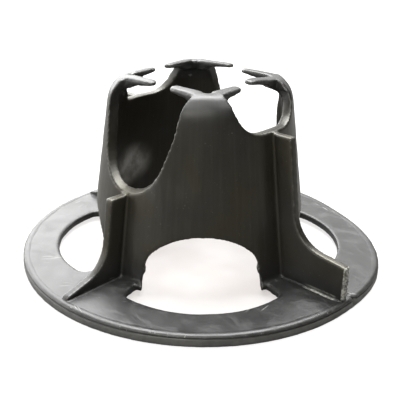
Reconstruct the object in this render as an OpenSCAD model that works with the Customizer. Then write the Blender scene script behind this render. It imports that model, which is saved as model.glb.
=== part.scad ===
// Two-height rebar chair, moulded in one piece.
// A windowed ring base carries a hollow tapered drum. Two bar channels cross at right angles in
// the crown, and snap fingers above each seat keep the bar from lifting out.
// The deep seats lie along Y and the shallow seats along X.

/* [Ring base] */
// Outer diameter of the ring
ring_d = 96; // [88:1:120]
// Thickness of the ring plate
plate_t = 2; // [1.6:0.1:2.8]
// Height of the rim that the ring stands on
rim_h = 3; // [2.8:0.1:4.5]
// Radial width of the rim
rim_w = 2; // [1.5:0.1:4]
// Radius of the rounded upper edge of the rim
rim_round = 0.8; // [0.3:0.1:1.2]
// Size of the small parting groove round the rim
rim_groove = 0.25; // [0.1:0.05:0.5]

/* [Drum] */
// Outer diameter of the drum where it meets the ring
drum_d = 59.2; // [56:0.2:64]
// Height of the crown above the ground
crown_z = 49.5; // [47:0.5:56]
// Draft of the drum wall in degrees
drum_draft = 8.1; // [5:0.1:9]
// Thickness of the drum wall
wall_t = 2.6; // [2:0.1:3.2]
// Outer radius of the rounded shoulder
shoulder_r = 8.4; // [7:0.2:9.6]
// Angle, up from level, at which the shoulder meets the flat crown
shoulder_angle = 55; // [50:1:64]
// Radius of the rounded corner inside the drum, under the shoulder
inner_r = 5; // [3:0.2:6]
// Thickness of the crown
crown_t = 2.4; // [1.8:0.1:2.8]
// Radius of the fillet round the foot of the drum
foot_fillet = 1; // [0.5:0.1:2]

/* [Bar seats] */
// Height of the deep seat, which is the smaller concrete cover
deep_seat_z = 25; // [20:0.5:30]
// Radius of the round bottom of the deep seat
deep_seat_r = 10.6; // [9:0.2:11.4]
// Width between the tabs across the deep seat
deep_open_w = 23.6; // [23:0.2:25]
// Height of the shallow seat, which is the larger concrete cover
shallow_seat_z = 40; // [37:0.5:41]
// Width between the tabs across the shallow seat
shallow_open_w = 20.8; // [19:0.2:22]
// Corner radius of the shallow seat
shallow_corner_r = 6.4; // [3:0.2:7]

/* [Snap fingers] */
// Width of a finger at its root
finger_root_w = 3.3; // [2.6:0.1:4]
// Width of a finger at its tip
finger_tip_w = 2.7; // [2:0.1:3.4]
// Thickness of a finger at its root
finger_root_t = 1.3; // [1:0.1:2]
// Thickness of a finger at its tip
finger_tip_t = 0.9; // [0.7:0.1:1.6]
// Distance from the side of a channel out to the finger that runs beside it
finger_setback = 1.5; // [0.6:0.1:1.8]
// Radius where the underside of a finger runs down into its tab
finger_fillet = 4.6; // [2:0.1:5.5]
// Extra length of the two long fingers, one over each channel
finger_extra = 1.6; // [0:0.1:1.9]
// Gap that the bar snaps through above a deep seat
deep_gap = 6; // [5:0.1:8]
// Gap that the bar snaps through above a shallow seat
shallow_gap = 4.6; // [4.2:0.1:7]

/* [Ribs] */
// Thickness of a rib
rib_t = 1.6; // [1.2:0.1:2.4]
// Distance that a rib stands out from the drum wall
rib_depth = 5.3; // [4:0.1:6.5]
// Distance from a seat down to the top of the rib outside it
rib_drop = 0.4; // [0.2:0.1:2]
// Radius of the inside bend of a rib
rib_bend_r = 9; // [6:0.5:10]
// Height of a low rib at its end, above the ring
rib_end_h = 0.9; // [0.5:0.1:2]
// Slope of the tail of a low rib in degrees
rib_slope = 16; // [10:1:18]
// Distance from the end of a low rib to the edge of the ring
rib_inset = 1.4; // [1:0.1:4]
// Height of the gate rib at its end, above the ring
gate_end_h = 9; // [7:0.5:11]
// Slope of the tail of the gate rib in degrees
gate_slope = 7; // [3:1:10]
// Distance from the end of the gate rib to the edge of the ring
gate_inset = 0.5; // [0.3:0.1:2]

/* [Arches and windows] */
// Height of the top of an arch above the ground
arch_z = 16.6; // [14:0.2:19]
// Radius of the arch
arch_r = 17.1; // [16:0.1:20]
// Height where the arch meets its straight sides
arch_spring_z = 10; // [8:0.2:11]
// Radius of the rounded corners between the head of an arch and its sides
arch_corner_r = 8; // [4:0.5:9]
// Width of an arch at the ring
arch_foot_w = 29.6; // [28:0.2:31]
// Half of the angle between the two sides of a window, in degrees
window_half_angle = 32.7; // [29:0.1:35]
// Radius of the outer arc of a window
window_arc_r = 26.2; // [24:0.2:27]
// Distance from the centre of the drum to the centre of that arc
window_arc_x = 12.5; // [11:0.1:14]
// Corner radius of a window
window_corner_r = 3; // [1:0.2:4]

/* [Hidden] */
$fn = 96;
over = 1;
// Blending arcs run this far past tangent, so that they cross the faces that they blend into
blend_over = 0.02;
ring_r = ring_d / 2;
drum_r = drum_d / 2;
plate_z = rim_h - plate_t;
span = ring_d + 2 * over;

// Centres of the arcs of the shoulder and of the corner inside it, on the cones of the drum wall
arc_z = crown_z - shoulder_r * sin(shoulder_angle);
arc_x = cone_r(arc_z) - shoulder_r / cos(drum_draft);
inner_z = crown_z - crown_t - inner_r;
inner_x = cone_r(inner_z) - (wall_t + inner_r) / cos(drum_draft);

// Half widths of the channels, and the tab corners that they leave
deep_half = deep_open_w / 2;
shallow_half = shallow_open_w / 2;
deep_mid_z = deep_seat_z + deep_seat_r;

// Underside of a finger at its root, and where its fillet runs out into the side of the channel
root_z = crown_z - finger_root_t;
spring_z = root_z - finger_fillet;

// Inner corner of a tab, which is the notch between its two fingers
notch = [deep_half, shallow_half] + finger_setback * [1, 1];

// Radius of the outer face of the cone at height z
function cone_r(z) = drum_r - (z - rim_h) * tan(drum_draft);

// Solid of revolution under a cone that is rounded into a flat top, with the arc's centre given
module dome_section(inset, centre, arc_r, top_z) {
    face_x = inset / cos(drum_draft);
    foot_z = plate_z - inset;
    tangent_z = centre[1] + arc_r * sin(drum_draft);
    intersection() {
        polygon([
            [0, foot_z], [cone_r(foot_z) - face_x, foot_z], [cone_r(top_z) - face_x, top_z], [0, top_z]
        ]);
        union() {
            translate(centre) circle(arc_r + blend_over);
            translate([0, centre[1]]) square([centre[0], arc_r + over]);
            translate([0, foot_z - over]) square([ring_r, tangent_z - foot_z + over]);
        }
    }
}

// Fillet where the foot of the drum meets the ring plate
module foot_section() {
    normal = [cos(drum_draft), sin(drum_draft)];
    centre = [cone_r(rim_h + foot_fillet) + foot_fillet / normal[0], rim_h + foot_fillet];
    inner = centre - (foot_fillet + wall_t / 2) * normal;
    low_z = rim_h - plate_t / 2;
    difference() {
        polygon([centre, inner, [inner[0], low_z], [centre[0], low_z]]);
        translate(centre) circle(foot_fillet + blend_over);
    }
}

// Hollow drum with its rounded shoulder and a flat crown, before anything is cut
module drum_shell() {
    rotate_extrude() {
        difference() {
            dome_section(0, [arc_x, arc_z], shoulder_r, crown_z);
            dome_section(wall_t, [inner_x, inner_z], inner_r, crown_z - crown_t);
        }
        foot_section();
    }
}

// Opening between two legs, seen along its axis: a round head over sides that lean in a little
module arch_profile() {
    foot = arch_foot_w / 2;
    spring = sqrt(pow(arch_r, 2) - pow(arch_spring_z - arch_z + arch_r, 2));
    lean = atan((foot - spring) / (arch_spring_z - rim_h));
    top_z = arch_z + over;
    top = foot - (top_z - rim_h) * tan(lean);
    // The centre of a corner lies one radius in from the side and from the head
    head_z = arch_z - arch_r;
    along = [-sin(lean), cos(lean)];
    inward = [-cos(lean), -sin(lean)];
    from_head = [foot, rim_h - head_z] + arch_corner_r * inward;
    half_b = from_head * along;
    run = -half_b + sqrt(pow(half_b, 2) - from_head * from_head + pow(arch_r - arch_corner_r, 2));
    centre = from_head + run * along + [0, head_z];
    outward = (centre - [0, head_z]) / (arch_r - arch_corner_r);
    difference() {
        intersection() {
            translate([0, head_z]) circle(arch_r);
            polygon([
                [-foot, -over], [foot, -over], [foot, rim_h],
                [top, top_z], [-top, top_z], [-foot, rim_h]
            ]);
        }
        for (side = [0, 1])
            mirror([side, 0, 0])
                difference() {
                    polygon([
                        centre,
                        centre - 2 * arch_corner_r * inward,
                        centre + 2 * arch_corner_r * (outward - inward),
                        centre + 2 * arch_corner_r * outward
                    ]);
                    translate(centre) circle(arch_corner_r + blend_over);
                }
    }
}

// Four arches, one under each tab
module arches() {
    for (turn = [45:90:315])
        rotate([90, 0, turn])
            translate([0, 0, over])
                linear_extrude(ring_r)
                    arch_profile();
}

// Corner of a window outside its rounding, on one side (0) or mirrored to the other (1)
module window_corner(side) {
    along = [sin(window_half_angle), cos(window_half_angle)];
    across = [-cos(window_half_angle), sin(window_half_angle)];
    // The centre of the rounding lies one radius in from the side and from the arc
    reach = window_arc_r - window_corner_r;
    from_arc = window_corner_r * across - [0, window_arc_x];
    half_b = from_arc * along;
    run = -half_b + sqrt(pow(half_b, 2) - from_arc * from_arc + pow(reach, 2));
    centre = run * along + window_corner_r * across;
    outward = (centre - [0, window_arc_x]) / reach;
    mirror([side, 0, 0])
        difference() {
            polygon([
                centre,
                centre - 2 * window_corner_r * across,
                centre + 2 * window_corner_r * (along + outward - across),
                centre + 2 * window_corner_r * outward
            ]);
            translate(centre) circle(window_corner_r + blend_over);
        }
}

// Window in the ring plate, outside an arch
module window_profile() {
    side = ring_r * [sin(window_half_angle), cos(window_half_angle)];
    difference() {
        intersection() {
            translate([0, window_arc_x]) circle(window_arc_r);
            polygon([[0, 0], side, [side[0], ring_r], [-side[0], ring_r], [-side[0], side[1]]]);
        }
        window_corner(0);
        window_corner(1);
    }
}

// Ring plate with its rim, which is rounded above and grooved at the parting line
module ring_base() {
    groove_z = rim_h - rim_round - rim_groove;
    round_x = ring_r - rim_round;
    color("dimgray")
        difference() {
            rotate_extrude()
                difference() {
                    union() {
                        translate([drum_r - wall_t / 2, plate_z])
                            square([round_x - drum_r + wall_t / 2, plate_t]);
                        translate([ring_r - rim_w, 0]) square([rim_w, rim_h - rim_round]);
                        translate([round_x, rim_h - rim_round]) circle(rim_round);
                    }
                    translate([ring_r, groove_z]) circle(rim_groove);
                }
            for (turn = [45:90:315])
                rotate(turn)
                    translate([0, 0, -over])
                        linear_extrude(rim_h + 2 * over)
                            window_profile();
        }
}

// Deep channel seen along the bar: a round seat with sides that flare a little
module deep_profile() {
    translate([0, deep_mid_z]) circle(deep_seat_r);
    polygon([
        [-deep_seat_r, deep_mid_z], [deep_seat_r, deep_mid_z],
        [deep_half, spring_z - over], [deep_half, crown_z + over],
        [-deep_half, crown_z + over], [-deep_half, spring_z - over]
    ]);
}

// Shallow channel seen along the bar: a flat seat with rounded corners
module shallow_profile() {
    flat = shallow_half - shallow_corner_r;
    height = crown_z + over - shallow_seat_z;
    for (side = [-1, 1])
        translate([side * flat, shallow_seat_z + shallow_corner_r]) circle(shallow_corner_r);
    translate([-flat, shallow_seat_z]) square([2 * flat, height]);
    translate([-shallow_half, shallow_seat_z + shallow_corner_r])
        square([2 * shallow_half, height - shallow_corner_r]);
}

// Everything under the fingers of one channel, rounded where each finger meets its tab
module under_fingers(half, gap) {
    tip_z = crown_z - finger_tip_t;
    inner = half - finger_fillet;
    side = half + over;
    for (turn = [-1, 1])
        translate([turn * inner, spring_z]) circle(finger_fillet + blend_over);
    polygon([
        [-side, 0], [side, 0], [side, spring_z], [inner, spring_z],
        [inner, root_z], [gap / 2, tip_z], [-gap / 2, tip_z], [-inner, root_z],
        [-inner, spring_z], [-side, spring_z]
    ]);
}

// Runs a profile along the deep channel, which lies along Y
module along_y() {
    translate([0, span / 2, 0]) rotate([90, 0, 0]) linear_extrude(span) children();
}

// Runs a profile along the shallow channel, which lies along X
module along_x() {
    rotate(90) along_y() children();
}

// One finger in plan: its inner edge lies on the X axis and its tip is rounded
module finger(length) {
    polygon([[0, 0], [length, 0], [length, finger_tip_w], [0, finger_root_w]]);
    translate([length, finger_tip_w / 2]) circle(finger_tip_w / 2 + blend_over);
}

// Both fingers of the tab at +X and +Y, one square across each channel, with their extra lengths
module finger_pair(over_deep, over_shallow) {
    translate(notch) {
        mirror([1, 0, 0]) finger(notch[0] - (deep_gap + finger_tip_w) / 2 + over_deep);
        rotate(270) finger(notch[1] - (shallow_gap + finger_tip_w) / 2 + over_shallow);
    }
}

// Fingers of the four tabs, with the space under them cut away along both channels
module fingers() {
    difference() {
        translate([0, 0, spring_z])
            linear_extrude(crown_z - spring_z + 2 * over) {
                finger_pair(0, finger_extra);
                mirror([1, 0, 0]) finger_pair(finger_extra, 0);
                mirror([0, 1, 0]) finger_pair(0, 0);
                rotate(180) finger_pair(0, 0);
            }
        along_y() under_fingers(deep_half, deep_gap);
        along_x() under_fingers(shallow_half, shallow_gap);
    }
}

// Both channels, and the opening in the crown between the notches of the four tabs
module channels() {
    along_y() deep_profile();
    along_x() shallow_profile();
    translate([0, 0, spring_z])
        linear_extrude(crown_z - spring_z + over) square(2 * notch, center = true);
}

// Drum wall with its arches, and with both channels cut down to their seats round the fingers
module drum() {
    color("darkslategray")
        difference() {
            drum_shell();
            arches();
            difference() {
                channels();
                fingers();
            }
        }
}

// Rib along +X, seen from the side: it follows the wall, then bends out into its tail
module rib_profile(top_z, end_x, end_z, slope) {
    wall_x = drum_r + rib_depth;
    rise = tan(slope);
    fall = tan(drum_draft);
    // Corner where the edge along the wall and the tail would meet, before the bend is rounded
    corner_z = (end_z + (end_x - wall_x - rim_h * fall) * rise) / (1 - rise * fall);
    corner_x = wall_x - (corner_z - rim_h) * fall;
    up = [-sin(drum_draft), cos(drum_draft)];
    out = [cos(slope), -sin(slope)];
    half_turn = acos(up * out) / 2;
    set = rib_bend_r / tan(half_turn);
    middle = [corner_x, corner_z] + (up + out) / norm(up + out) * rib_bend_r / sin(half_turn);
    top_x = wall_x - (top_z - rim_h) * fall;
    inner_x = drum_r - wall_t / 2;
    difference() {
        polygon([
            [inner_x, plate_z + plate_t / 2], [end_x, plate_z + plate_t / 2], [end_x, end_z],
            [corner_x, corner_z] + set * out, middle, [corner_x, corner_z] + set * up,
            [top_x, top_z], [cone_r(top_z) - wall_t / 2, top_z]
        ]);
        translate(middle) circle(rib_bend_r + blend_over);
    }
}

// Stands a rib profile upright in the plane through the axis at the given turn
module rib(turn) {
    rotate([90, 0, turn])
        translate([0, 0, -rib_t / 2])
            linear_extrude(rib_t)
                children();
}

// Four ribs: three low ones and the tall one at +X that the part is filled through
module ribs() {
    end_x = ring_r - rib_inset;
    end_z = rim_h + rib_end_h;
    shallow_top = shallow_seat_z - rib_drop;
    color("dimgray") {
        for (turn = [90, 270])
            rib(turn) rib_profile(deep_seat_z - rib_drop, end_x, end_z, rib_slope);
        rib(180) rib_profile(shallow_top, end_x, end_z, rib_slope);
        rib(0) rib_profile(shallow_top, ring_r - gate_inset, rim_h + gate_end_h, gate_slope);
    }
}

module rebar_chair() {
    ring_base();
    drum();
    ribs();
}

rebar_chair();
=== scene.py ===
import math

import bmesh
import bpy
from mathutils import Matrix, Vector, noise


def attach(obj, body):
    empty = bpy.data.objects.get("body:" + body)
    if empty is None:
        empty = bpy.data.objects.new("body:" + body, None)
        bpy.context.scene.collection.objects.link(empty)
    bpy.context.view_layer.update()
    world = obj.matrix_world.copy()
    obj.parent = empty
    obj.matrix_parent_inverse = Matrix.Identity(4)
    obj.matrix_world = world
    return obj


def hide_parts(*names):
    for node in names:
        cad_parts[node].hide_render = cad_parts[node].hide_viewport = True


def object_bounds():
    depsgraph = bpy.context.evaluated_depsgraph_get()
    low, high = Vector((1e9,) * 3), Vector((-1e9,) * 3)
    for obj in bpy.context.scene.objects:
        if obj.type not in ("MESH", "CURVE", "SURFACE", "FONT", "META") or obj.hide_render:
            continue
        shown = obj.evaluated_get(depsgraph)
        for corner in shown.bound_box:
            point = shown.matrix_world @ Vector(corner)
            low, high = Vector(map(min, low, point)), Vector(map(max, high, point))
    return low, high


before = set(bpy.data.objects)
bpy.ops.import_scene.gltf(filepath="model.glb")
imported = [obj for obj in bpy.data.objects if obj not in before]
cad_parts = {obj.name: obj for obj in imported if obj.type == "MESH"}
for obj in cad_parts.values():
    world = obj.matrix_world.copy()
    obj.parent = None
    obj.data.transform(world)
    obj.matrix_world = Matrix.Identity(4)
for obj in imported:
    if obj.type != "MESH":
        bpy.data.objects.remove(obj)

cad_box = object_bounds()

# ---------------------------------------------------------------------------------------------
# The moulding: one piece of charcoal polypropylene, injected through a gate at the end of its
# tall rib. The solid's sharp edges get the radii that the mould leaves, its fingers are round
# rods, and the gate keeps the torn end of the runner that was broken off by hand.

chair_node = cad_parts["rebar_chair"]
mm = 0.001
voxel = 0.34 * mm
softening_passes = 9
crown_passes = 18
kept_faces = 0.44

# The solid's own sizes, in millimetres
ring_r = cad_box[1][0] / mm
crown_top = cad_box[1][2] / mm
rim_top = 3
wall_foot_r = 29.6
wall_draft = 0.142
deep_half_w = 11.8
shallow_half_w = 10.4
deep_axis_z = 35.6
finger_setback = 1.5
gate_end_x = 47.4
gate_end_top = 12.2

# How far the real moulding departs from the solid: a slope, and lengths in millimetres
crown_fall = math.tan(math.radians(5))
finger_swell = 0.12
deep_lip = 0.65
side_lean = 0.9
root_fill = 1.7
rib_swell = 0.3
burr_height = 0.45
tear_depth = 0.45
nick_depth = 1.3
unevenness = 0.07
warp_out = 0.9
warp_in = 1.1


def ramp(low, high, value):
    """Rises smoothly from 0 at low to 1 at high."""
    share = min(max((value - low) / (high - low), 0), 1)
    return share * share * (3 - 2 * share)


def bump(centre, reach, value):
    """1 at the centre, falling smoothly to 0 at that reach on either side."""
    return 1 - ramp(0, reach, abs(value - centre))


def from_axis(place):
    """The distance from the drum's axis."""
    return math.hypot(place.x, place.y)


def wall_radius(height):
    """The radius of the drum's outer face at that height."""
    return wall_foot_r - wall_draft * (height - rim_top)


def swell_fingers(place, normal):
    """The fingers are rounder and fuller than their square sections."""
    over_deep = abs(place.x) < deep_half_w + 0.6
    over_shallow = abs(place.y) < shallow_half_w + 0.6
    if place.z > crown_top - 2.6 and (over_deep or over_shallow):
        place += normal * finger_swell


def drop_crown(place):
    """The crown and its fingers fall away a little towards the outside."""
    past_deep = abs(place.x) - deep_half_w - finger_setback
    past_shallow = abs(place.y) - shallow_half_w - finger_setback
    outward = max(past_deep, past_shallow, 0)
    place.z -= crown_fall * outward * ramp(crown_top - 3.5, crown_top - 1, place.z)


def raise_deep_lip(place):
    """The inner edge of the deep seats stands up into the channel as a thick lip."""
    if abs(place.y) < 15:
        return
    rise = min(place.z - deep_axis_z, 0)
    away = math.hypot(place.x, rise)
    inwards = ramp(0, 2.6, wall_radius(place.z) - from_axis(place))
    beside_seat = 1 - ramp(deep_half_w, deep_half_w + 2.7, away)
    push = deep_lip * inwards * beside_seat * (1 - ramp(38, 44, place.z))
    if away > 9:
        place.x -= push * place.x / away
        place.z -= push * rise / away


def draw_in_deep_side(place):
    """One side of each deep opening leans in towards its channel, low down."""
    side = -math.copysign(place.x, place.x * place.y)
    if abs(place.y) < 12 or side < 5:
        return
    lean = bump(32, 8, place.z) * (1 - ramp(14, 18, side))
    place.x -= math.copysign(side_lean * lean, place.x)


def fill_finger_root(place):
    """The web under one far finger is fuller than under the others."""
    web = Vector((-19.5, -9, 43.5))
    place.y += root_fill * (1 - ramp(1, 5, (place - web).length))


def thicken_ribs(place):
    """The ribs are a little thicker than in the solid, clear of the drum and of the ring."""
    free = ramp(0, 1.2, from_axis(place) - wall_radius(place.z))
    free *= ramp(rim_top, rim_top + 1, place.z)
    reach = 2.6
    if abs(place.y) < reach:
        swell = rib_swell * free * (1 - ramp(reach / 2, reach, abs(place.y)))
        place.y += math.copysign(swell, place.y)
    elif abs(place.x) < reach:
        swell = rib_swell * free * (1 - ramp(reach / 2, reach, abs(place.x)))
        place.x += math.copysign(swell, place.x)


def lift_long_fingers(place):
    """The two longer fingers droop less than the rest, and one reaches further."""
    if place.z < crown_top - 3.5:
        return
    if place.x > 10 and 0 < place.y < 11:
        tip = 1 - ramp(2, 11, place.y)
        place.z += 0.8 * tip
    if place.y > 10 and -12 < place.x < 0:
        tip = 1 - ramp(2, 12, -place.x)
        place.z += 0.5 * tip
        place.x += 0.8 * tip


def leave_flash(place):
    """A burr stands out from each side of the arches, where the mould's cores met."""
    bearing = math.degrees(math.atan2(place.y, place.x)) % 90 - 45
    burr = ramp(24, 28, abs(bearing)) * (1 - ramp(31.5, 35, abs(bearing)))
    burr *= bump(6.4, 1.3, place.z) * ramp(22, 24, from_axis(place))
    burr *= 1 - ramp(31, 33, from_axis(place))
    along = Vector((-place.y, place.x, 0)).normalized()
    place -= along * math.copysign(burr_height * burr, bearing)


def lift_drum_foot(place):
    """Inside the rim the wall ends a little above the ground."""
    within_rim = 1 - ramp(31, 33, from_axis(place))
    place.z = max(place.z, 1.2 * within_rim)


def wobble(place, normal):
    """No moulded face is quite true."""
    place += normal * unevenness * noise.noise(place / 4)


def tear_gate(place):
    """The runner tore away from the gate rib's end and left a ragged face and a nick."""
    near = ramp(gate_end_x - 0.8, gate_end_x - 0.1, place.x)
    near *= 1 - ramp(1.2, 1.8, abs(place.y))
    near *= ramp(rim_top + 0.2, rim_top + 0.8, place.z)
    near *= 1 - ramp(gate_end_top + 0.2, gate_end_top + 0.7, place.z)
    ragged = noise.noise(place * 0.9) + 0.6 * noise.noise(place * 2.3)
    place.x += tear_depth * near * ragged
    place.y += 0.5 * tear_depth * near * noise.noise(place * 1.7 + Vector((9, 0, 0)))
    nick = bump(3.4, 1.0, place.y) * ramp(gate_end_x - 1.6, gate_end_x - 0.4, place.x)
    nick *= ramp(0.6, 1.6, place.z)
    place.x -= nick_depth * nick
    place.z -= 0.5 * nick * ramp(1.5, 2.5, place.z)


def warp_ring(place):
    """The ring cooled a little out of round on the side behind the gate."""
    radius = from_axis(place)
    bearing = math.degrees(math.atan2(place.y, place.x))
    stretch = warp_out * bump(24, 26, bearing) - warp_in * bump(68, 26, bearing)
    stretch *= ramp(ring_r - 10, ring_r, radius)
    stretch *= 1 - ramp(rim_top + 0.4, rim_top + 1.5, place.z)
    place.x += stretch * place.x / max(radius, 1)
    place.y += stretch * place.y / max(radius, 1)


moulding = bpy.data.objects.new("moulding", chair_node.data.copy())
bpy.context.scene.collection.objects.link(moulding)
moulding.data.materials.clear()

mesh = bmesh.new()
mesh.from_mesh(moulding.data)
bmesh.ops.remove_doubles(mesh, verts=mesh.verts, dist=1e-6)
mesh.to_mesh(moulding.data)
mesh.free()


def bake(piece):
    """Replaces the piece's mesh by what its modifiers make of it."""
    ready = piece.evaluated_get(bpy.context.evaluated_depsgraph_get())
    skin = bpy.data.meshes.new_from_object(ready)
    piece.modifiers.clear()
    piece.data = skin


remesh = moulding.modifiers.new("even skin", "REMESH")
remesh.mode = "VOXEL"
remesh.voxel_size = voxel
remesh.adaptivity = 0
rounding = moulding.modifiers.new("mould radii", "SMOOTH")
rounding.factor = 0.5
rounding.iterations = softening_passes
bake(moulding)

normals = [vertex.normal.copy() for vertex in moulding.data.vertices]
for vertex, normal in zip(moulding.data.vertices, normals):
    place = vertex.co / mm
    swell_fingers(place, normal)
    drop_crown(place)
    raise_deep_lip(place)
    draw_in_deep_side(place)
    fill_finger_root(place)
    lift_long_fingers(place)
    thicken_ribs(place)
    lift_drum_foot(place)
    leave_flash(place)
    wobble(place, normal)
    tear_gate(place)
    warp_ring(place)
    place.z = max(place.z, 0)
    vertex.co = place * mm

mesh = bmesh.new()
mesh.from_mesh(moulding.data)
crease = []
for vertex in mesh.verts:
    place = vertex.co / mm
    on_tab = abs(place.x) > deep_half_w - 0.2 and abs(place.y) > shallow_half_w
    if on_tab and place.z > crown_top - 5.5 and from_axis(place) > 16.5:
        crease.append(vertex)
for _ in range(crown_passes):
    bmesh.ops.smooth_vert(
        mesh, verts=crease, factor=0.5, use_axis_x=True, use_axis_y=True, use_axis_z=True
    )
mesh.to_mesh(moulding.data)
mesh.free()

thinning = moulding.modifiers.new("fewer faces on flats", "DECIMATE")
thinning.ratio = kept_faces
bake(moulding)
for face in moulding.data.polygons:
    face.use_smooth = True


class Mask:
    """A node group that works out one mask from the place on the surface, in millimetres."""

    def __init__(self, name):
        self.tree = bpy.data.node_groups.new(name, "ShaderNodeTree")
        self.tree.interface.new_socket("Mask", in_out="OUTPUT", socket_type="NodeSocketFloat")
        self.end = self.tree.nodes.new("NodeGroupOutput")
        place = self.tree.nodes.new("ShaderNodeTexCoord")
        self.place = self.vector("SCALE", place.outputs["Object"], scale=1 / mm)
        split = self.tree.nodes.new("ShaderNodeSeparateXYZ")
        self.link(self.place, split.inputs[0])
        self.x, self.y, self.z = split.outputs[0], split.outputs[1], split.outputs[2]

    def link(self, source, socket):
        """Joins an output to an input inside the group."""
        self.tree.links.new(source, socket)

    def feed(self, value, socket):
        """Sets a number on a socket, or joins an output to it."""
        if isinstance(value, (int, float)):
            socket.default_value = value
        else:
            self.link(value, socket)

    def math(self, operation, a, b=0.0, c=0.0):
        """One sum on numbers."""
        node = self.tree.nodes.new("ShaderNodeMath")
        node.operation = operation
        for value, socket in zip((a, b, c), node.inputs):
            self.feed(value, socket)
        return node.outputs[0]

    def product(self, result, *others):
        """All the values multiplied."""
        for other in others:
            result = self.math("MULTIPLY", result, other)
        return result

    def vector(self, operation, a, b=(0, 0, 0), scale=1.0):
        """One sum on places. The scale's socket has a name only when the operation is SCALE."""
        node = self.tree.nodes.new("ShaderNodeVectorMath")
        node.operation = operation
        self.link(a, node.inputs[0])
        node.inputs[1].default_value = b
        node.inputs[3].default_value = scale
        return node.outputs[0]

    def noise(self, place, size, detail=2.0, roughness=0.5):
        """Noise whose lumps are about that many millimetres across."""
        node = self.tree.nodes.new("ShaderNodeTexNoise")
        node.inputs["Scale"].default_value = 1 / size
        node.inputs["Detail"].default_value = detail
        node.inputs["Roughness"].default_value = roughness
        self.link(place, node.inputs["Vector"])
        return node.outputs["Fac"]

    def between(self, value, low, high, to_low=0.0, to_high=1.0):
        """Maps low..high to a smooth step from to_low to to_high."""
        node = self.tree.nodes.new("ShaderNodeMapRange")
        node.interpolation_type = "SMOOTHSTEP"
        sockets = ("Value", "From Min", "From Max", "To Min", "To Max")
        for name, given in zip(sockets, (value, low, high, to_low, to_high)):
            self.feed(given, node.inputs[name])
        return node.outputs["Result"]

    def radius(self):
        """The distance from the drum's axis."""
        squares = self.math("ADD", self.product(self.x, self.x), self.product(self.y, self.y))
        return self.math("SQRT", squares)

    def flat_top(self):
        """1 on the upper face of the ring."""
        above_band = self.between(self.z, rim_top - 0.8, rim_top - 0.2)
        below_ribs = self.between(self.z, rim_top + 0.4, rim_top + 1.2, 1, 0)
        return self.product(above_band, below_ribs)

    def done(self, mask):
        """Gives the group its output and hands it back."""
        self.link(mask, self.end.inputs["Mask"])
        return self.tree


def flow_marks():
    """Broad cloudy bands where the melt cooled at different speeds."""
    mask = Mask("flow marks")
    stretched = mask.vector("MULTIPLY", mask.place, (1, 1, 0.35))
    clouds = mask.noise(stretched, 9, 3, 0.55)
    swirls = mask.noise(mask.place, 3.5, 2, 0.6)
    both = mask.math("ADD", mask.product(clouds, 0.7), mask.product(swirls, 0.3))
    return mask.done(mask.between(both, 0.34, 0.66))


def draw_marks():
    """Fine upright streaks where the drum slid out of the mould."""
    mask = Mask("draw marks")
    bearing = mask.math("ARCTAN2", mask.y, mask.x)
    around = mask.tree.nodes.new("ShaderNodeCombineXYZ")
    mask.link(mask.product(bearing, 27), around.inputs[0])
    mask.link(mask.product(mask.z, 0.04), around.inputs[1])
    streaks = mask.noise(around.outputs[0], 0.9, 3, 0.6)
    wall = mask.between(mask.z, 4, 9)
    return mask.done(mask.product(mask.between(streaks, 0.42, 0.72), wall))


def handling_scratches():
    """Thin pale scratches across the ring from stacking and shipping."""
    mask = Mask("handling scratches")
    lines = None
    for turn, size in ((0.35, 7.0), (-0.9, 9.0), (1.5, 11.0)):
        rotated = mask.tree.nodes.new("ShaderNodeVectorRotate")
        rotated.rotation_type = "Z_AXIS"
        mask.link(mask.place, rotated.inputs["Vector"])
        rotated.inputs["Angle"].default_value = turn
        drawn = mask.vector("MULTIPLY", rotated.outputs[0], (0.06, 1, 1))
        fine = mask.noise(drawn, 0.35, 0, 0.5)
        patch = mask.between(mask.noise(rotated.outputs[0], size, 1, 0.5), 0.58, 0.7)
        line = mask.product(mask.between(fine, 0.74, 0.82), patch)
        lines = line if lines is None else mask.math("MAXIMUM", lines, line)
    return mask.done(mask.product(lines, mask.flat_top()))


def smears():
    """Swirled dull smears left on the ring by the grip of wet gloves."""
    mask = Mask("smears")
    bend = mask.tree.nodes.new("ShaderNodeTexNoise")
    bend.inputs["Scale"].default_value = 1 / 12
    mask.link(mask.place, bend.inputs["Vector"])
    bent = mask.tree.nodes.new("ShaderNodeVectorMath")
    bent.operation = "MULTIPLY_ADD"
    mask.link(bend.outputs["Color"], bent.inputs[0])
    bent.inputs[1].default_value = (14, 14, 0)
    mask.link(mask.place, bent.inputs[2])
    wisps = mask.noise(mask.vector("MULTIPLY", bent.outputs[0], (0.5, 1, 1)), 3, 4, 0.65)
    return mask.done(mask.product(mask.between(wisps, 0.48, 0.7), mask.flat_top()))


def worn_and_highlit_edges():
    """Outer corners rubbed pale, more in some places than in others, and lightened as painted
    highlights along the rounded edges.
    """
    mask = Mask("edge wear and highlights")
    shape = mask.tree.nodes.new("ShaderNodeNewGeometry")
    edge = mask.between(shape.outputs["Pointiness"], 0.515, 0.57)
    uneven = mask.between(mask.noise(mask.place, 1.6, 3, 0.7), 0.4, 0.62, 0.25, 1)
    less_on_rim = mask.between(mask.radius(), ring_r - 1.5, ring_r - 1, 1, 0.3)
    return mask.done(mask.product(edge, uneven, less_on_rim))


def dust_and_glints():
    """Pale chips and dusty specks that cling to corners and to the ring; on the corners they are
    also painted glints.
    """
    mask = Mask("dust_and_glints")
    shape = mask.tree.nodes.new("ShaderNodeNewGeometry")
    edge = mask.between(shape.outputs["Pointiness"], 0.52, 0.56, 0.1, 1)
    grains = mask.between(mask.noise(mask.place, 0.4, 1, 0.5), 0.7, 0.76)
    few = mask.between(mask.noise(mask.place, 4, 1, 0.5), 0.5, 0.62)
    return mask.done(mask.product(grains, few, edge))


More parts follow.
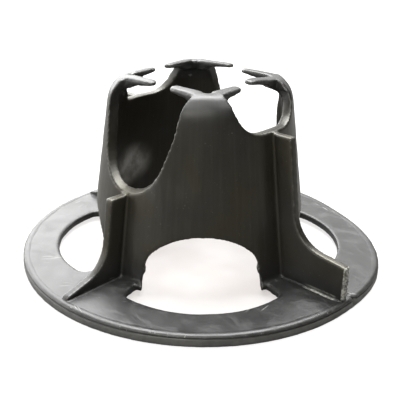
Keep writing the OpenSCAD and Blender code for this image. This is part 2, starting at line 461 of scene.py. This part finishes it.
def torn_face():
    """The rough grey face at the gate, and the scuffed line at the foot of the gate rib."""
    mask = Mask("torn face")
    end = mask.product(
        mask.between(mask.x, gate_end_x - 0.45, gate_end_x - 0.25),
        mask.between(mask.math("ABSOLUTE", mask.y), 1.1, 1.4, 1, 0),
        mask.between(mask.z, rim_top + 0.4, rim_top + 0.9),
        mask.between(mask.noise(mask.place, 0.9, 3, 0.7), 0.38, 0.6, 0.1, 1),
    )
    from_line = mask.math("ABSOLUTE", mask.math("ADD", mask.y, 1.35))
    line = mask.product(
        mask.between(from_line, 0.1, 0.35, 1, 0),
        mask.between(mask.x, 36, 39),
        mask.between(mask.x, 45, 46, 1, 0),
        mask.between(mask.z, rim_top + 0.9, rim_top + 1.2, 1, 0),
        mask.between(mask.noise(mask.place, 0.8, 2, 0.6), 0.4, 0.55, 0.3, 1),
    )
    return mask.done(mask.math("MAXIMUM", end, line))


def ground_scuff():
    """The upright band of the rim, scuffed pale by the ground and by other chairs."""
    mask = Mask("ground scuff")
    outside = mask.between(mask.radius(), ring_r - 0.7, ring_r - 0.2)
    below_groove = mask.between(mask.z, 1.9, 2.2, 1, 0)
    off_ground = mask.between(mask.z, 0.1, 0.6)
    rubbed = mask.between(mask.noise(mask.place, 3, 3, 0.65), 0.3, 0.65, 0.6, 1)
    return mask.done(mask.product(outside, below_groove, off_ground, rubbed))


def drum_inside():
    """The inside of the drum, which the core left rough and duller than the outside; there the
    plastic also gets less specular shine, as painted shade.
    """
    mask = Mask("drum inside")
    shoulder_x = 15.5
    shoulder_z = 42.6
    inner_reach = 6.2
    out = mask.math("SUBTRACT", mask.radius(), shoulder_x)
    up = mask.math("MAXIMUM", mask.math("SUBTRACT", mask.z, shoulder_z), 0)
    squares = mask.math("ADD", mask.product(out, out), mask.product(up, up))
    reach = mask.math("SQRT", squares)
    down = mask.math("MAXIMUM", mask.math("SUBTRACT", shoulder_z, mask.z), 0)
    limit = mask.math("ADD", mask.product(down, wall_draft), inner_reach)
    return mask.done(mask.between(mask.math("SUBTRACT", limit, reach), 0, 0.3))


def painted_inner_glow():
    """A painted glow: a pale patch of light low on the inner wall."""
    mask = Mask("painted inner glow")
    away = mask.vector("SUBTRACT", mask.place, (-25, -3, 19.5))
    length = mask.tree.nodes.new("ShaderNodeVectorMath")
    length.operation = "LENGTH"
    mask.link(mask.vector("MULTIPLY", away, (1, 0.8, 1)), length.inputs[0])
    spot = mask.between(length.outputs["Value"], 1.5, 8, 1, 0)
    cloudy = mask.between(mask.noise(mask.place, 6, 3, 0.6), 0.35, 0.65, 0.4, 1)
    return mask.done(mask.product(spot, cloudy))


def warm_reflection_on_wall():
    """Painted warm reflection: the drum's wall is tinted a shade warmer than the ring, in its
    colour and in the colour of its reflections.
    """
    mask = Mask("painted warm reflection")
    wall = mask.product(mask.between(mask.z, 4, 12), mask.between(mask.z, 40, 47, 1, 0))
    patches = mask.between(mask.noise(mask.place, 14, 2, 0.5), 0.35, 0.65, 0.5, 1)
    return mask.done(mask.product(wall, patches))


charcoal = bpy.data.materials.new("charcoal plastic")
charcoal.use_nodes = True
plastic = charcoal.node_tree
shader = plastic.nodes["Principled BSDF"]


def place_mask(tree):
    """Puts a mask's group into the plastic and gives its output."""
    node = plastic.nodes.new("ShaderNodeGroup")
    node.node_tree = tree
    return node.outputs["Mask"]


def tint(base, colour, mask, strength=1.0):
    """Lays a colour over the base where the mask is set."""
    mix = plastic.nodes.new("ShaderNodeMix")
    mix.data_type = "RGBA"
    amount = plastic.nodes.new("ShaderNodeMath")
    amount.operation = "MULTIPLY"
    plastic.links.new(mask, amount.inputs[0])
    amount.inputs[1].default_value = strength
    plastic.links.new(amount.outputs[0], mix.inputs["Factor"])
    if isinstance(base, tuple):
        mix.inputs["A"].default_value = base
    else:
        plastic.links.new(base, mix.inputs["A"])
    mix.inputs["B"].default_value = colour
    return mix.outputs["Result"]


def shift(base, mask, amount):
    """Adds the mask times an amount to a value."""
    add = plastic.nodes.new("ShaderNodeMath")
    add.operation = "MULTIPLY_ADD"
    plastic.links.new(mask, add.inputs[0])
    add.inputs[1].default_value = amount
    if isinstance(base, float):
        add.inputs[2].default_value = base
    else:
        plastic.links.new(base, add.inputs[2])
    return add.outputs[0]


cloud = place_mask(flow_marks())
streak = place_mask(draw_marks())
scratch = place_mask(handling_scratches())
smear = place_mask(smears())
edge_wear_and_highlight = place_mask(worn_and_highlit_edges())
dust_and_glint = place_mask(dust_and_glints())
tear = place_mask(torn_face())
scuff = place_mask(ground_scuff())
warm_reflection = place_mask(warm_reflection_on_wall())
core = place_mask(drum_inside())
# Painted light: the glowing patch on the inner wall, kept to the inside of the drum.
inner_glow = plastic.nodes.new("ShaderNodeMath")
inner_glow.operation = "MULTIPLY"
plastic.links.new(place_mask(painted_inner_glow()), inner_glow.inputs[0])
plastic.links.new(core, inner_glow.inputs[1])

colour = tint((0.009, 0.009, 0.009, 1), (0.015, 0.015, 0.015, 1), cloud)
# Painted warm reflection: the drum's wall tinted warm.
colour = tint(colour, (0.014, 0.011, 0.005, 1), warm_reflection, 0.6)
colour = tint(colour, (0.11, 0.11, 0.108, 1), scuff, 0.8)
# The painted glow on the inner wall.
colour = tint(colour, (0.42, 0.41, 0.39, 1), inner_glow.outputs[0], 0.85)
colour = tint(colour, (0.05, 0.048, 0.042, 1), streak, 0.12)
colour = tint(colour, (0.09, 0.09, 0.09, 1), smear, 0.22)
# Pale outer corners: rubbed, and painted highlights along the rounded edges.
colour = tint(colour, (0.18, 0.18, 0.175, 1), edge_wear_and_highlight, 0.5)
colour = tint(colour, (0.35, 0.35, 0.34, 1), scratch, 0.5)
# Pale specks: chips and dusty specks, and on the corners painted glints.
colour = tint(colour, (0.55, 0.55, 0.52, 1), dust_and_glint, 0.8)
colour = tint(colour, (0.42, 0.42, 0.39, 1), tear, 0.85)
plastic.links.new(colour, shader.inputs["Base Color"])

gloss = shift(0.37, cloud, 0.09)
gloss = shift(gloss, smear, 0.12)
gloss = shift(gloss, scratch, 0.2)
gloss = shift(gloss, edge_wear_and_highlight, -0.06)
gloss = shift(gloss, tear, 0.4)
gloss = shift(gloss, core, 0.12)
plastic.links.new(gloss, shader.inputs["Roughness"])
shader.inputs["IOR"].default_value = 1.5
# Painted shade: less specular shine inside the drum makes the inside darker.
sheen = shift(0.5, core, -0.22)
plastic.links.new(sheen, shader.inputs["Specular IOR Level"])
# Painted warm reflection: the wall's reflections tinted warm.
warm_reflection_tint = tint((1, 1, 1, 1), (1, 0.965, 0.8, 1), warm_reflection, 1.0)
plastic.links.new(warm_reflection_tint, shader.inputs["Specular Tint"])

grain_place = plastic.nodes.new("ShaderNodeTexCoord")
grain = plastic.nodes.new("ShaderNodeTexNoise")
grain.inputs["Scale"].default_value = 1 / (0.6 * mm)
grain.inputs["Detail"].default_value = 4
plastic.links.new(grain_place.outputs["Object"], grain.inputs["Vector"])
height = shift(grain.outputs["Fac"], cloud, 0.5)
height = shift(height, scratch, -0.6)
height = shift(height, tear, 1.5)
skin_relief = plastic.nodes.new("ShaderNodeBump")
skin_relief.inputs["Strength"].default_value = 0.25
skin_relief.inputs["Distance"].default_value = 0.03 * mm
plastic.links.new(height, skin_relief.inputs["Height"])
plastic.links.new(skin_relief.outputs["Normal"], shader.inputs["Normal"])
moulding.data.materials.append(charcoal)

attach(moulding, "root")
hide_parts("rebar_chair")

# ---------------------------------------------------------------------------------------------
# The rim's edge, in the same charcoal plastic: a rounded lip, the fine groove where the halves of
# the mould met, and the band that stands on the ground. One profile is turned round the axis, as
# distances past the ring's radius and heights, so that the groove stays crisp.

rim_steps = 600
rim_profile = [
    (-1.8, 2.95),
    (-1.2, 3.1),
    (-0.6, 3.12),
    (-0.1, 2.95),
    (0.2, 2.65),
    (0.24, 2.4),
    (0.02, 2.32),
    (0.02, 2.12),
    (0.26, 2.04),
    (0.3, 1.9),
    (0.32, 1.2),
    (0.3, 0.6),
    (0.15, 0.2),
    (-0.2, 0.02),
]

rim_mesh = bmesh.new()
turns = []
for step in range(rim_steps):
    bearing = math.tau * step / rim_steps
    turn = []
    out = Vector((math.cos(bearing), math.sin(bearing), 0))
    for past_ring, up in rim_profile:
        place = out * (ring_r + past_ring) + Vector((0, 0, up))
        place += out * 0.06 * noise.noise(place * 0.5)
        place += out * 0.05 * noise.noise(place * 1.6)
        tear_gate(place)
        warp_ring(place)
        turn.append(rim_mesh.verts.new(place * mm))
    turns.append(turn)
for here, ahead in zip(turns, turns[1:] + turns[:1]):
    for low, high in zip(range(len(rim_profile) - 1), range(1, len(rim_profile))):
        rim_mesh.faces.new((here[low], here[high], ahead[high], ahead[low]))
rim_data = bpy.data.meshes.new("rim_edge")
rim_mesh.to_mesh(rim_data)
rim_mesh.free()
for face in rim_data.polygons:
    face.use_smooth = True
rim = bpy.data.objects.new("rim_edge", rim_data)
bpy.context.scene.collection.objects.link(rim)
rim.data.materials.append(charcoal)
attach(rim, "root")

# ---------------------------------------------------------------------------------------------
# The floor: a pale sweep of paper that the chair stands on. It looks white by its own glow, which
# only the camera sees, while its paper stays dim in what the plastic mirrors.

bpy.ops.mesh.primitive_plane_add(size=6, location=(0, 0, 0))
floor = bpy.context.object
floor.name = "floor"
paper = bpy.data.materials.new("paper")
paper.use_nodes = True
paper_tree = paper.node_tree
paper_shader = paper_tree.nodes["Principled BSDF"]
paper_shader.inputs["Base Color"].default_value = (0.16, 0.158, 0.155, 1)
paper_shader.inputs["Roughness"].default_value = 0.9
paper_shader.inputs["Specular IOR Level"].default_value = 0.0

# Painted shadow: under the drum the floor's glow is dimmer and warmer.
under = Mask("under the drum")
painted_shadow = under.product(
    under.between(under.radius(), 24, 46, 1, 0),
    under.between(under.noise(under.place, 18, 2, 0.5), 0.3, 0.7, 0.7, 1),
)
painted_shadow_mask = paper_tree.nodes.new("ShaderNodeGroup")
painted_shadow_mask.node_tree = under.done(painted_shadow)
glow = paper_tree.nodes.new("ShaderNodeMix")
glow.data_type = "RGBA"
glow.inputs["A"].default_value = (1, 1, 1, 1)
glow.inputs["B"].default_value = (0.62, 0.57, 0.55, 1)
paper_tree.links.new(painted_shadow_mask.outputs["Mask"], glow.inputs["Factor"])
paper_tree.links.new(glow.outputs["Result"], paper_shader.inputs["Emission Color"])
paper_rays = paper_tree.nodes.new("ShaderNodeLightPath")
far_floor = Mask("far floor")
far = paper_tree.nodes.new("ShaderNodeGroup")
far.node_tree = far_floor.done(far_floor.between(far_floor.radius(), 90, 300, 0.84, 1))
lift = paper_tree.nodes.new("ShaderNodeMath")
lift.operation = "MULTIPLY"
paper_tree.links.new(far.outputs["Mask"], lift.inputs[1])
paper_tree.links.new(paper_rays.outputs["Is Camera Ray"], lift.inputs[0])
paper_tree.links.new(lift.outputs["Value"], paper_shader.inputs["Emission Strength"])
floor.data.materials.append(paper)

# ---------------------------------------------------------------------------------------------
# Light: a white sweep that is bright behind and to the left of the chair, where its ring mirrors
# it, a soft box overhead, and a dim room on the camera's side.

world = bpy.data.worlds.new("room")
bpy.context.scene.world = world
world.use_nodes = True
room = world.node_tree
background = room.nodes["Background"]
rays = room.nodes.new("ShaderNodeLightPath")
tone = room.nodes.new("ShaderNodeMix")
tone.data_type = "RGBA"
tone.inputs["A"].default_value = (0.062, 0.057, 0.034, 1)
tone.inputs["B"].default_value = (1, 1, 1, 1)
room.links.new(rays.outputs["Is Camera Ray"], tone.inputs["Factor"])
room.links.new(tone.outputs["Result"], background.inputs["Color"])
background.inputs["Strength"].default_value = 1


def panel(name, bearing, distance, height, width, rise, glow, colour=(1, 1, 1)):
    """A soft light panel that faces the chair, placed by its bearing from +X in degrees."""
    lamp = bpy.data.lights.new(name, "AREA")
    lamp.shape = "RECTANGLE"
    lamp.size = width
    lamp.size_y = rise
    lamp.energy = glow * math.pi * width * rise
    lamp.color = colour
    holder = bpy.data.objects.new(name, lamp)
    bpy.context.scene.collection.objects.link(holder)
    turn = math.radians(bearing)
    place = Vector((distance * math.cos(turn), distance * math.sin(turn), height))
    holder.location = place
    holder.rotation_mode = "QUATERNION"
    chair_middle = Vector((0, 0, 0.02))
    holder.rotation_quaternion = (chair_middle - place).to_track_quat("-Z", "Y")


panel("back sweep", 125, 0.9, 0.42, 1.0, 0.7, 1.4)
panel("left sweep", 165, 0.9, 0.42, 0.9, 0.8, 6.3)
panel("left edge", 208, 0.9, 0.3, 0.5, 0.6, 5)
panel("top box", 130, 0.3, 0.9, 0.75, 0.75, 20)
panel("front fill", -62, 0.85, 0.7, 0.8, 0.6, 5.2, (1, 0.99, 0.92))
panel("side fill", -110, 0.9, 0.15, 0.5, 0.25, 5)

# ---------------------------------------------------------------------------------------------
# The camera: a 63 mm lens 18 cm from the drum's axis and 9 cm above the ground, between the gate
# rib and a low one. It looks down by 24 degrees and is rolled by a quarter of a degree.

camera_bearing = math.radians(42.483)
camera_distance = 0.17722
camera_height = 0.09148
eye = bpy.data.cameras.new("camera")
eye.lens = 63.270
eye.sensor_width = 36
eye.shift_x = 0.0875
eye.shift_y = 0.0241
eye.clip_start = 0.01
camera = bpy.data.objects.new("camera", eye)
bpy.context.scene.collection.objects.link(camera)
camera.location = (
    camera_distance * math.sin(camera_bearing),
    -camera_distance * math.cos(camera_bearing),
    camera_height,
)
camera.rotation_euler = (math.radians(65.776), math.radians(0.265), math.radians(45.318))
bpy.context.scene.camera = camera

bpy.context.scene.view_settings.view_transform = "Standard"
